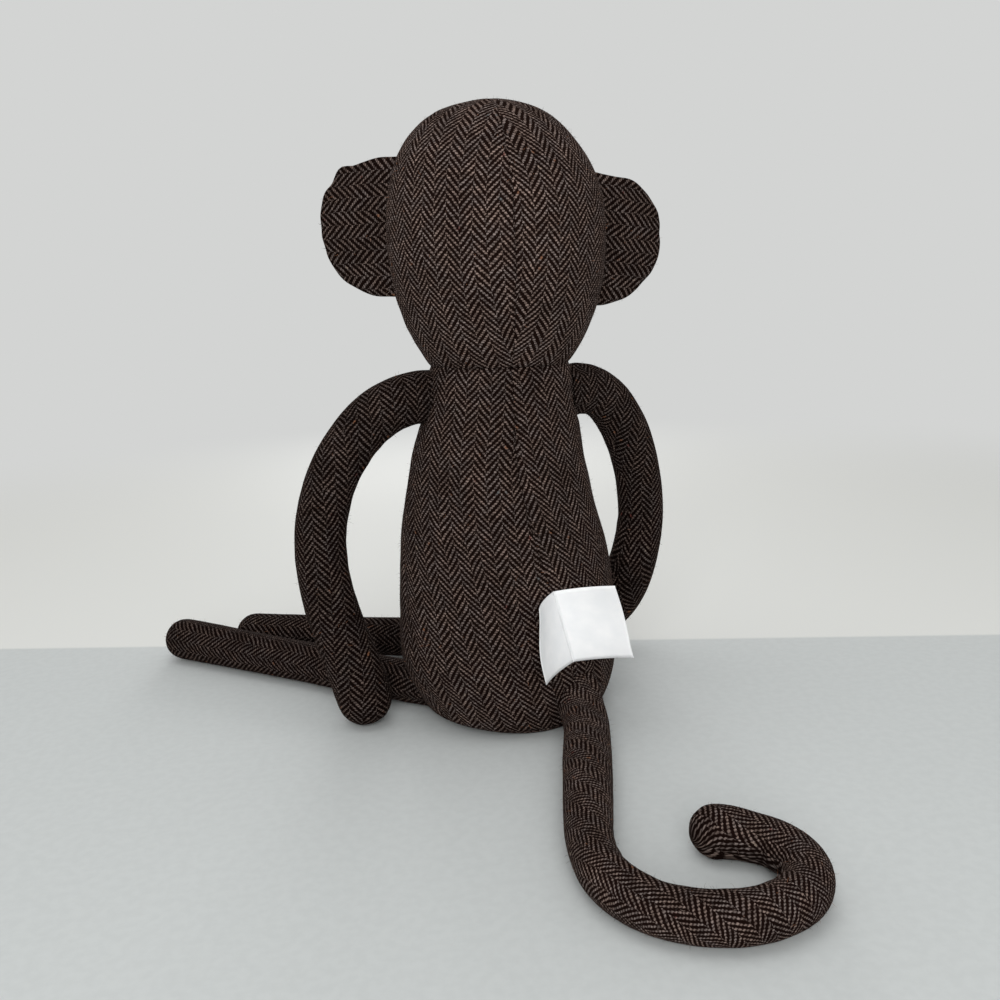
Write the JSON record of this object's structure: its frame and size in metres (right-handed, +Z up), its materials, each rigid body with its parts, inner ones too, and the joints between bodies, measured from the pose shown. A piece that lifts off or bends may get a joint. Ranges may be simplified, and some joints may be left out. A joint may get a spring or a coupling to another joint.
{
  "type": "monkey plush pillow",
  "caption": "Seated plush monkey pillow in brown herringbone tweed: tall stuffed body, round padded ears, long tube arms and legs, hooked tail, bare label in the back seam.",
  "frame": {"origin": "middle of the flat base that the toy sits on, at floor height", "axes": "+Z up, the face looks along -Y, the toy's left side is +X"},
  "size_m": [0.3671, 0.449, 0.387],
  "materials": {
    "tweed": "brushed wool herringbone",
    "stuffing": "loose white fibre",
    "label_satin": "soft satin ribbon",
    "felt": "matte felt",
    "thread": "satin stitched thread",
    "bead": "polished"
  },
  "bodies": {
    "torso": {"torso_front": "tweed", "torso_back_left": "tweed", "torso_back_right": "tweed", "torso_base": "tweed", "torso_stuffing": "stuffing"},
    "head": {"head_front": "tweed", "head_back_left": "tweed", "head_back_right": "tweed", "head_stuffing": "stuffing", "face_patch": "felt", "eye_left": "bead", "eye_right": "bead", "nose_stitch": "thread", "mouth_stitch": "thread"},
    "ear_left": {"ear_left_front": "tweed", "ear_left_back": "tweed", "ear_left_wadding": "stuffing"},
    "ear_right": {"ear_right_front": "tweed", "ear_right_back": "tweed", "ear_right_wadding": "stuffing"},
    "arm_left": {"arm_left_cover": "tweed", "arm_left_stuffing": "stuffing"},
    "arm_right": {"arm_right_cover": "tweed", "arm_right_stuffing": "stuffing"},
    "leg_left": {"leg_left_cover": "tweed", "leg_left_stuffing": "stuffing"},
    "leg_right": {"leg_right_cover": "tweed", "leg_right_stuffing": "stuffing"},
    "tail": {"tail_cover": "tweed", "tail_stuffing": "stuffing"},
    "label_right": {"label_right": "label_satin"},
    "label_left": {"label_left": "label_satin"}
  },
  "joints": [
    {"name": "head_nod", "type": "hinge", "parent": "torso", "child": "head", "pos_m": [0, 0, 0.215], "axis": [1, 0, 0], "range_deg": [-15, 15], "stiffness_Nm_per_rad": 0.5},
    {"name": "ear_left_fold", "type": "hinge", "parent": "head", "child": "ear_left", "pos_m": [0.06281, -0.006, 0.315], "axis": [0, 0, 1], "range_deg": [-35, 35], "stiffness_Nm_per_rad": 0.02},
    {"name": "ear_right_fold", "type": "hinge", "parent": "head", "child": "ear_right", "pos_m": [-0.063, -0.006, 0.305], "axis": [0, 0, -1], "range_deg": [-35, 35], "stiffness_Nm_per_rad": 0.02},
    {"name": "arm_left_raise", "type": "hinge", "parent": "torso", "child": "arm_left", "pos_m": [0.04776, 0.00011, 0.217], "axis": [0.1736, -0.9848, 0], "range_deg": [0, 55]},
    {"name": "arm_right_raise", "type": "hinge", "parent": "torso", "child": "arm_right", "pos_m": [-0.04776, -0.00011, 0.217], "axis": [-0.5878, 0.809, 0], "range_deg": [0, 55]},
    {"name": "leg_left_raise", "type": "hinge", "parent": "torso", "child": "leg_left", "pos_m": [0.0648, -0.01614, 0.0157], "axis": [-0.5592, -0.829, 0], "range_deg": [0, 50]},
    {"name": "leg_right_raise", "type": "hinge", "parent": "torso", "child": "leg_right", "pos_m": [-0.01304, -0.06549, 0.0157], "axis": [-0.9945, -0.1045, 0], "range_deg": [0, 50]},
    {"name": "tail_swing", "type": "hinge", "parent": "torso", "child": "tail", "pos_m": [-0.03323, 0.05501, 0.02118], "axis": [0, 0, 1], "range_deg": [-20, 20]},
    {"name": "label_right_flap", "type": "hinge", "parent": "torso", "child": "label_right", "pos_m": [-0.02343, 0.06153, 0.07221], "axis": [-0.2291, -0.009, -0.9734], "range_deg": [0, 35], "stiffness_Nm_per_rad": 0.0005},
    {"name": "label_left_flap", "type": "hinge", "parent": "torso", "child": "label_left", "pos_m": [-0.02233, 0.06194, 0.07194], "axis": [0.2291, 0.009, 0.9734], "range_deg": [0, 35], "stiffness_Nm_per_rad": 0.0005}
  ]
}
